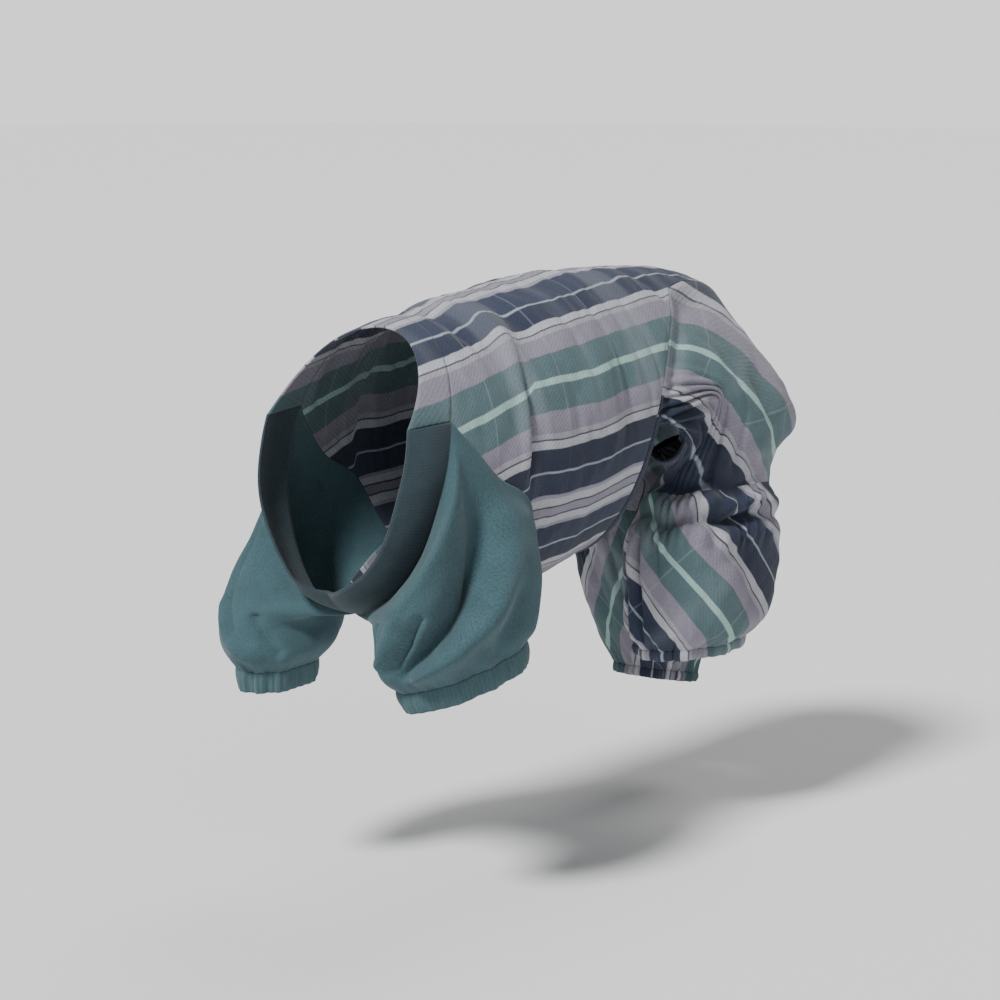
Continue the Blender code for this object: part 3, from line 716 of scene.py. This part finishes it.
def fold_height(share, down, folds):
    """How far the fold lines lift the cloth of a limb, as a share of its width."""
    lifts = {}
    for a, b in zip(folds[:-1], folds[1:]):
        if a[0] != b[0]:
            continue
        way = np.array([(b[1] - a[1]) * ROUNDNESS, b[2] - a[2]])
        size = way @ way
        for shift in (-1, 0, 1):
            dx = (share + shift - a[1]) * ROUNDNESS
            dy = down - a[2]
            t = np.clip((dx * way[0] + dy * way[1]) / size, 0, 1)
            off = np.hypot(dx - t * way[0], dy - t * way[1])
            depth = a[3] + (b[3] - a[3]) * t
            reach = 1.3 * (a[4] + (b[4] - a[4]) * t)
            height = depth * np.exp(-(off / reach) ** 2)
            other = lifts.get(a[0], 0.0 * share)
            lifts[a[0]] = np.where(np.abs(height) > np.abs(other), height, other)
    return sum(lifts.values())


def gather_height(share, down, gathers):
    lift = 0.0 * share
    for count, at, reach, depth in gathers:
        wave = np.cos(2 * math.pi * count * share + 1.5 * np.sin(2 * math.pi * 3 * share))
        lift = lift + depth * wave * np.exp(-((down - at) / reach) ** 2)
    return lift


def limb_keys(loop, start, rings, size, hip=None):
    length, width = size
    share = run_of(np.vstack([loop, loop[:1]]))
    share = share[:-1] / share[-1]
    centre = loop.mean(axis=0)
    keyed = [loop] + [ring(centre, row, share + start, length, width) for row in rings]
    if hip is not None:
        keyed.insert(1, hip(share))
    return np.array(keyed), share


def limb_grid(keyed, share, folds, gathers, rows, width):
    steps = np.linalg.norm(np.diff(keyed, axis=0), axis=-1).mean(axis=1)
    keys = np.concatenate([[0], np.cumsum(steps)])
    grid = smooth(keys, keyed, np.linspace(0, keys[-1], rows + 1))
    down = np.linspace(0, 1, rows + 1)[:, None] + 0 * share[None, :]
    round_share = share[None, :] + 0 * down
    lift = fold_height(round_share, down, folds) + gather_height(round_share, down, gathers)
    out = grid - grid.mean(axis=1)[:, None, :]
    out = out / np.linalg.norm(out, axis=-1)[..., None]
    rise = np.clip((down - 0.03) / 0.2, 0, 1)
    rise = rise * rise * (3 - 2 * rise)
    return grid + out * (lift * rise * width)[..., None], down


def closed_woven(share, down, girth, length):
    """Woven places of a tube, with one more column where it closes."""
    across = np.concatenate([share, [1.0]]) * girth
    along = np.concatenate([down, down[:, :1]], axis=1) * length
    return np.stack([across[None, :] + 0 * along, along], -1)


teal_knit = knit_fabric("teal_brushed_knit", "#4f6b72", "#22373d", 0.0024, 0.05)
teal_rib = knit_fabric("teal_rib_knit", "#526d73", "#283e43", 0.0030, 0.14)


def sleeve_loop():
    parts = [seam(SHOULDER_SEAM, SHOULDER_STEPS), seam(CHEST_SEAM, CHEST_STEPS),
             seam(COLLAR_SEAM, COLLAR_STEPS)]
    return np.vstack([on_body(part)[:-1] for part in parts])


def band_below(grid, depth, draw, bulge, rows, count, ripple):
    """A band that follows the last row of a limb, drawn in by its elastic."""
    last = grid[-1]
    middle = last.mean(axis=0)
    down = np.cross(last[len(last) // 4] - middle, last[0] - middle)
    down = down / np.linalg.norm(down)
    down = down * (1 if down[2] < 0 else -1)
    out = last - middle
    size = np.linalg.norm(out, axis=1)[:, None]
    share = np.arange(len(last)) / len(last)
    wave = np.cos(2 * math.pi * count * share)[:, None]
    made = []
    for t in np.linspace(0, 1, rows + 1):
        swell = bulge * math.sin(math.pi * t)
        lift = ripple * wave * math.sin(math.pi * t) * out / size
        made.append(middle + out * (1 - draw * t + swell) + down * depth * t + lift)
    return np.array(made)


def add_sleeve(side, rings, folds, flip):
    keyed, share = limb_keys(sleeve_loop(), 0.25, rings, (SLEEVE_LENGTH, SLEEVE_WIDTH))
    grid, down = limb_grid(keyed, share, folds, SLEEVE_GATHERS, SLEEVE_ROWS, SLEEVE_WIDTH)
    fade = np.clip(down / 0.1, 0, 1) * np.clip((1 - down) / 0.1, 0, 1)
    grid = raised(grid, crumple(grid, 0.030, 0.0010, 3, (1.0, 1.0, 0.6)) * fade, True)
    grid = mirrored(grid) if flip else grid
    woven = closed_woven(share, down, SLEEVE_GIRTH, SLEEVE_CLOTH)
    obj = cloth_mesh("sleeve_cloth_" + side, [(grid, woven)], True, SLEEVE_WALL)
    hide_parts("sleeve_" + side)
    obj.data.materials.append(teal_knit)
    cuff = band_below(grid, CUFF_DEPTH, 0.03, 0.03, CUFF_ROWS, CUFF_RIBS, 0.0003)
    down = np.linspace(0, 1, CUFF_ROWS + 1)[:, None] + 0 * share[None, :]
    woven = closed_woven(share, down, CUFF_GIRTH, CUFF_DEPTH)
    obj = cloth_mesh("cuff_band_" + side, [(cuff, woven)], True, RIB_WALL)
    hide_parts("sleeve_cuff_" + side)
    obj.data.materials.append(teal_rib)


add_sleeve("left", LEFT_SLEEVE, LEFT_SLEEVE_FOLDS, False)
add_sleeve("right", RIGHT_SLEEVE, RIGHT_SLEEVE_FOLDS, True)

# HIND LEGS
# Full bloomer legs of the striped cotton, gathered at the knee and drawn in
# by a narrow elastic hem. The stripes follow the round of the hip and then
# slant across the lower leg, where the cloth is twisted by the pose.

LEG_LENGTH = 0.275
LEG_WIDTH = 0.165
HEM_DEPTH = 0.009
HEM_ROWS = 6
HEM_PUCKERS = 44
# back, out, down
OPEN_EDGE = (
    (0.573, 0.150, 0.360),
    (0.560, 0.165, 0.480),
    (0.515, 0.165, 0.560),
    (0.440, 0.140, 0.610),
    (0.350, 0.130, 0.630),
    (0.270, 0.170, 0.650),
    (0.215, 0.260, 0.660),
    (0.185, 0.350, 0.660),
    (0.175, 0.420, 0.640),
    (0.178, 0.462, 0.590),
    (0.150, 0.475, 0.520),
)
LEFT_LEG = (
    (0.120, 0.010, 0.340, 0.394, 0.273, 0, 10, 0),
    (0.070, 0.010, 0.490, 0.515, 0.315, 0, 5, 0),
    (0.062, 0.010, 0.672, 0.510, 0.315, 0, 2, 0),
    (0.044, 0.010, 0.806, 0.465, 0.290, 0, 0, 0),
    (0.018, 0.010, 0.856, 0.375, 0.215, 0, 0, 0),
)
RIGHT_LEG = (
    (0.165, 0.010, 0.360, 0.430, 0.270, -8, 10, 0),
    (0.244, 0.010, 0.580, 0.375, 0.280, -10, 5, 0),
    (0.318, 0.010, 0.800, 0.378, 0.270, -12, 2, 0),
    (0.372, 0.010, 0.985, 0.330, 0.240, -12, 0, 0),
    (0.402, 0.010, 1.080, 0.258, 0.205, -12, 0, 0),
)
# round, back, out, down
HIP_LINE = (
    (0.00, 0.245, 0.522, 0.44),
    (0.10, 0.286, 0.544, 0.42),
    (0.21, 0.354, 0.553, 0.44),
    (0.33, 0.472, 0.519, 0.46),
    (0.42, 0.566, 0.457, 0.54),
    (0.50, 0.601, 0.337, 0.60),
    (0.58, 0.585, 0.202, 0.66),
    (0.68, 0.507, 0.120, 0.70),
    (0.80, 0.330, 0.135, 0.72),
    (0.88, 0.232, 0.295, 0.70),
    (0.95, 0.222, 0.440, 0.595),
    (1.00, 0.245, 0.522, 0.44),
)
LEFT_LEG_FOLDS = (
    (1, 0.350, 0.14, -0.030, 0.060),
    (1, 0.270, 0.24, -0.055, 0.060),
    (2, 0.070, 0.62, 0.025, 0.070),
    (2, 0.130, 0.80, 0.030, 0.070),
    (3, 0.170, 0.62, -0.030, 0.050),
    (3, 0.220, 0.84, -0.025, 0.050),
    (4, 0.280, 0.62, 0.030, 0.060),
    (4, 0.320, 0.84, 0.030, 0.060),
    (5, 0.885, 0.64, -0.050, 0.020),
    (5, 0.868, 0.96, -0.035, 0.022),
    (6, 0.925, 0.62, -0.050, 0.018),
    (6, 0.938, 0.94, -0.030, 0.020),
    (7, 0.905, 0.64, 0.025, 0.018),
    (7, 0.905, 0.94, 0.020, 0.022),
    (8, 0.975, 0.62, -0.025, 0.024),
    (8, 1.010, 0.90, -0.015, 0.028),
    (9, 0.120, 0.08, 0.012, 0.040),
    (9, 0.160, 0.34, 0.022, 0.050),
    (10, 0.190, 0.16, -0.020, 0.030),
    (10, 0.130, 0.40, -0.030, 0.030),
    (11, 0.060, 0.20, -0.015, 0.028),
    (11, 0.060, 0.44, -0.030, 0.026),
    (12, 0.500, 0.60, -0.040, 0.040),
    (12, 0.520, 0.90, -0.040, 0.040),
)
RIGHT_LEG_FOLDS = (
    (1, 0.980, 0.40, -0.045, 0.060),
    (1, 0.930, 0.80, -0.045, 0.060),
    (2, 0.060, 0.45, 0.035, 0.070),
    (2, 0.030, 0.85, 0.030, 0.070),
    (3, 0.880, 0.55, -0.030, 0.025),
    (3, 0.860, 0.92, -0.030, 0.025),
    (4, 0.960, 0.60, 0.020, 0.030),
    (4, 0.900, 0.92, 0.020, 0.030),
    (5, 0.150, 0.55, -0.030, 0.030),
    (5, 0.180, 0.92, -0.030, 0.030),
    (6, 0.300, 0.50, 0.025, 0.050),
    (6, 0.320, 0.90, 0.025, 0.050),
)
LEG_GATHERS = ((9, 0.36, 0.08, 0.010), (11, 1.00, 0.14, 0.014), (37, 1.00, 0.08, 0.006))
LEG_ROWS = 13 * FINE


def open_edge():
    start = on_body(np.array([RUMP_SEAM[-1]], float))
    end = on_body(np.array([HIP_SEAM[0]], float))
    size = np.array([BACK_LENGTH, -CHEST_WIDTH, -CHEST_DEPTH])
    points = np.vstack([start, np.array(OPEN_EDGE) * size, end])
    keys = run_of(points)
    fine = smooth(keys, points, np.linspace(0, keys[-1], 600))
    length = run_of(fine)
    want = np.linspace(0, length[-1], OPEN_STEPS + 1)
    return np.stack([np.interp(want, length, fine[:, i]) for i in range(3)], -1)


def hip_ring(share):
    table = np.array(HIP_LINE)
    row = smooth(table[:, 0], table[:, 1:], share)
    return row * np.array([BACK_LENGTH, -CHEST_WIDTH, -CHEST_DEPTH])


def leg_loop():
    parts = [on_body(seam(HIP_SEAM, HIP_STEPS)), on_body(seam(RUMP_SEAM, RUMP_STEPS)), open_edge()]
    return np.vstack([part[:-1] for part in parts])


# The thigh's stripes run round this point of the flank gap.
FLANK_GAP = (0.021, -0.108, -0.149)
# Distance of each place in the stripes, in mm, from the flank gap at angles from the top to the rear.
STRIPE_PLACES = (205, 195, 181, 157, 107.5, 88, 58)
# angle, then a distance for each place
HIP_STRIPES = (
    (15, 0, 20, 34, 56, 98, 115, 150),
    (45, 0, 24, 40, 63, 112, 136, 190),
    (65, 0, 32, 50, 78, 126, 157, 212),
    (85, 0, 48, 70, 97, 155, 190, 245),
    (100, 0, 66, 92, 132, 200, 235, 290),
    (110, 0, 75, 102, 175, 240, 280, 340),
)
# Share of the leg's length where the knee's stripes begin, and where the groove of the pinch lies.
PINCH = 0.49
GROOVE = 0.58
# down from the groove, height, half_width
PINCH_LINES = (
    (0.000, -0.0110, 0.018),
    (-0.050, 0.0090, 0.026),
    (-0.105, -0.0045, 0.018),
    (0.050, 0.0040, 0.030),
)
# Share of the girth where the leg's inner seam lies.
INSEAM = 0.72
# How far the knee's stripes shift across and along, for one turn round and for the whole length down.
KNEE_ACROSS = (0.370, -0.220)
KNEE_ALONG = (0.24, 0.20)
HIP_RADIUS = 0.11


def hip_woven(grid):
    """Woven places of the thigh, whose stripes fan out from the flank gap to the rear."""
    off = (grid - FLANK_GAP) * 1000
    angle = np.degrees(np.arctan2(off[..., 0], off[..., 2]))
    reach = np.linalg.norm(off, axis=-1)
    table = np.array(HIP_STRIPES, float)
    radii = smooth(table[:, 0], table[:, 1:], angle)
    across = STRIPE_PLACES[0] + 0 * reach
    for k in range(len(STRIPE_PLACES) - 1):
        part = (reach - radii[..., k]) / (radii[..., k + 1] - radii[..., k])
        top = 3.0 if k == len(STRIPE_PLACES) - 2 else 1.0
        across = across + (STRIPE_PLACES[k + 1] - STRIPE_PLACES[k]) * np.clip(part, 0, top)
    return np.stack([across / 1000, np.radians(angle) * HIP_RADIUS], -1)


def knee_woven(turned, down, middle):
    """Woven places below the pinch, where the twisted cloth slants to the rear."""
    across = middle + KNEE_ACROSS[0] * turned + KNEE_ACROSS[1] * down
    along = KNEE_ALONG[0] * turned + KNEE_ALONG[1] * down
    return np.stack([across, along], -1)


def edge_gathers(share, down):
    """Pleats that the elastic draws along the open edge, longest beside the flank gap."""
    first = (HIP_STEPS + RUMP_STEPS) / (HIP_STEPS + RUMP_STEPS + OPEN_STEPS)
    on_edge = 1 / (1 + np.exp(np.clip(-(share - first) / 0.012, -50, 50)))
    by_gap = np.exp(-(((share - 0.995 + 0.5) % 1.0 - 0.5) / 0.075) ** 2)
    reach = 0.07 + 0.32 * by_gap
    wave = np.cos(2 * math.pi * 44 * share + 2.2 * np.sin(2 * math.pi * 4 * share))
    height = (0.0018 * on_edge + 0.0046 * by_gap * np.clip(down / 0.06, 0, 1)) * wave
    return height * np.exp(-(down / reach) ** 2) * np.clip(down / 0.02, 0.2, 1)


def pinch_folds(share, down):
    """The roll over the pinch, the groove under it and small gathers that fan out from both."""
    near = (share - 0.10 + 0.5) % 1.0 - 0.5
    on_side = np.exp(-(near / 0.20) ** 2)
    line = GROOVE + 0.10 * near + 0.012 * np.sin(2 * math.pi * 7 * near)
    wave = np.cos(2 * math.pi * 34 * share + 3 * np.sin(2 * math.pi * 5 * share))
    fan = np.exp(-((down - line - 0.05) / 0.04) ** 2) + np.exp(-((down - line + 0.05) / 0.035) ** 2)
    lift = 0.0023 * wave * fan
    for below, height, half_width in PINCH_LINES:
        lift = lift + height * np.exp(-((down - line - below) / half_width) ** 2)
    return lift * on_side


def hip_tuck(share, down):
    """The dip of the thigh's cloth beside the hip seam."""
    first = HIP_STEPS / (HIP_STEPS + RUMP_STEPS + OPEN_STEPS)
    on_seam = 1 / (1 + np.exp(np.clip((share - first * 1.1) / 0.012, -50, 50)))
    return -0.0060 * on_seam * np.exp(-((down - 0.040) / 0.022) ** 2)


def cut_at_inseam(grid, share, down):
    """The tube opened along its inner seam, and the share and down of its points."""
    first = int(np.argmin(np.abs(share - INSEAM)))
    order = np.concatenate([np.arange(first, len(share)), np.arange(first + 1)])
    turned = np.concatenate([share[first:], share[:first + 1] + 1.0])
    return grid[:, order], turned + 0 * down[:, order], down[:, order]


def add_leg(side, rings, folds, flip, middle):
    keyed, share = limb_keys(leg_loop(), 0.06, rings, (LEG_LENGTH, LEG_WIDTH), hip_ring)
    grid, down = limb_grid(keyed, share, folds, LEG_GATHERS, LEG_ROWS, LEG_WIDTH)
    fade = np.clip(down / 0.06, 0, 1) * np.clip((1 - down) / 0.06, 0, 1)
    round_share = share[None, :] + 0 * down
    lift = crumple(grid, 0.032, 0.0022, 5 if flip else 4) * fade + edge_gathers(round_share, down)
    lift = lift + crumple(grid, 0.012, 0.0005, 6) * fade
    lift = lift + pinch_folds(round_share, down) + hip_tuck(round_share, down)
    hip = hip_woven(grid)
    grid = raised(grid, lift, True)
    cut, turned, deep = cut_at_inseam(grid, share, down)
    hip = cut_at_inseam(hip, share, down)[0]
    knee = knee_woven(turned, deep, middle)
    cut = mirrored(cut) if flip else cut
    grid = mirrored(grid) if flip else grid
    row = int(round(PINCH * LEG_ROWS))
    patches = [(cut[:row + 1], hip[:row + 1]), (cut[row:], knee[row:])]
    obj = cloth_mesh("leg_cloth_" + side, patches, False, WOVEN_WALL)
    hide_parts("hind_leg_" + side)
    obj.data.materials.append(cotton)
    hem = band_below(cut[:, :-1], HEM_DEPTH, 0.02, 0.03, HEM_ROWS, HEM_PUCKERS, 0.0008)
    hem = np.concatenate([hem, hem[:, :1]], axis=1)
    woven = np.broadcast_to(knee[-1:], (HEM_ROWS + 1,) + knee.shape[1:])
    obj = cloth_mesh("hem_band_" + side, [(hem, woven)], False, TURNED_WALL)
    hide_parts("hind_hem_" + side)
    obj.data.materials.append(cotton)
    return grid


left_leg = add_leg("left", LEFT_LEG, LEFT_LEG_FOLDS, False, -0.119)
right_leg = add_leg("right", RIGHT_LEG, RIGHT_LEG_FOLDS, True, -0.054)

# ELASTIC CASINGS
# Narrow turned hems with elastic inside, along the rear edge of the belly and
# down the inner thighs round to the tail. The elastic puckers the cloth.

PUCKER_PITCH = 0.006
# Distance from the spine of the stripe that the casings are cut from.
CASING_STRIPE = 0.170


def unit(ways):
    return ways / np.linalg.norm(ways, axis=1)[:, None]


def spread_ways(points, ways, reach):
    run = run_of(points)
    apart = run[:, None] - run[None, :]
    return unit(np.exp(-(apart / reach) ** 2) @ ways)


def add_casing(name, target, points, ways):
    """A narrow puckered strip that runs out from an open edge."""
    run = run_of(points)
    pucker = 0.0007 * np.cos(2 * math.pi * run / PUCKER_PITCH)
    side = unit(np.cross(np.gradient(points, axis=0), ways))
    rows = []
    for t in np.linspace(0, 1, HEM_ROWS + 1):
        round_out = math.sin(math.pi * t)
        rows.append(points + ways * HEM_DEPTH * t + side * ((pucker + 0.0006) * round_out)[:, None])
    across = CASING_STRIPE + np.linspace(0, HEM_DEPTH, HEM_ROWS + 1)[:, None]
    woven = np.stack(np.broadcast_arrays(across, run[None, :]), -1)
    obj = cloth_mesh(name, [(np.array(rows), woven)], False, TURNED_WALL)
    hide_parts(target)
    obj.data.materials.append(cotton)


belly_rim = belly_patch[0]
add_casing("belly_casing", "belly_hem", belly_rim[-1], unit(belly_rim[-1] - belly_rim[-4]))
rim_rows = slice(HIP_STEPS + RUMP_STEPS, len(left_leg[0]))
rim_points = np.vstack([right_leg[0][rim_rows][::-1], back_patch[0][-1][1:], left_leg[0][rim_rows][1:]])
rim_ways = np.vstack([unit((right_leg[0] - right_leg[5])[rim_rows])[::-1],
                      unit(back_patch[0][-1] - back_patch[0][-4])[1:],
                      unit((left_leg[0] - left_leg[5])[rim_rows])[1:]])
add_casing("seat_casing", "seat_hem", rim_points, spread_ways(rim_points, rim_ways, 0.012))

# FLOOR AND LIGHT
# A pale seamless studio floor below the paws' height. The key light comes from
# above the head end, a weak fill from in front of the left side, and a weak
# rim light from behind the rump.

FLOOR_HALF = 40.0
FLOOR_DOWN = -0.505
# name, source, spread in degrees, strength
LIGHTS = (
    ("key", (-1.0, -0.10, 1.05), 12, 4.0),
    ("fill", (-0.45, -0.90, 0.60), 50, 0.42),
    ("rim", (0.8, 0.2, 1.2), 30, 0.6),
)


def add_floor():
    mesh = bpy.data.meshes.new("floor")
    s = FLOOR_HALF
    z = FLOOR_DOWN
    mesh.from_pydata([(-s, -s, z), (s, -s, z), (s, s, z), (-s, s, z)], [], [(0, 1, 2, 3)])
    floor = bpy.data.objects.new("floor", mesh)
    bpy.context.scene.collection.objects.link(floor)
    material = bpy.data.materials.new("pale_paper")
    material.use_nodes = True
    shader = material.node_tree.nodes["Principled BSDF"]
    shader.inputs["Base Color"].default_value = colour("#f8f8f8")
    shader.inputs["Roughness"].default_value = 0.9
    mesh.materials.append(material)


def add_sun(name, source, spread, strength):
    """A soft light far away in the direction of its source."""
    light = bpy.data.lights.new(name, "SUN")
    light.angle = math.radians(spread)
    light.energy = strength
    lamp = bpy.data.objects.new(name, light)
    lamp.rotation_euler = Vector(source).to_track_quat("Z", "Y").to_euler()
    bpy.context.scene.collection.objects.link(lamp)


def add_surround(light, seen):
    """White surround: weak as a light, and pale where the camera sees it."""
    world = bpy.data.worlds.new("studio")
    world.use_nodes = True
    tree = world.node_tree
    shade = tree.nodes["Background"]
    shade.inputs[0].default_value = (1.0, 1.0, 1.0, 1.0)
    path = node(tree, "ShaderNodeLightPath")
    power = node(tree, "ShaderNodeMapRange", {0: path.outputs["Is Camera Ray"], 3: light, 4: seen})
    tree.links.new(power.outputs[0], shade.inputs[1])
    bpy.context.scene.world = world


add_floor()
for row in LIGHTS:
    add_sun(*row)
add_surround(light=0.20, seen=1.26)

# CAMERA
# At the height of the back, in front of the left shoulder, 2.2 metres away.


def add_camera(azimuth, elevation, target, distance, lens):
    a, e = math.radians(azimuth), math.radians(elevation)
    back = Vector((math.sin(a) * math.cos(e), -math.cos(a) * math.cos(e), math.sin(e)))
    data = bpy.data.cameras.new("camera")
    data.sensor_width = 36.0
    data.lens = lens
    camera = bpy.data.objects.new("camera", data)
    camera.location = Vector(target) + back * distance
    camera.rotation_euler = (-back).to_track_quat("-Z", "Y").to_euler()
    bpy.context.scene.collection.objects.link(camera)
    bpy.context.scene.camera = camera


add_camera(-48, 9, (-0.055, 0.0, -0.190), 2.2, 92.7)
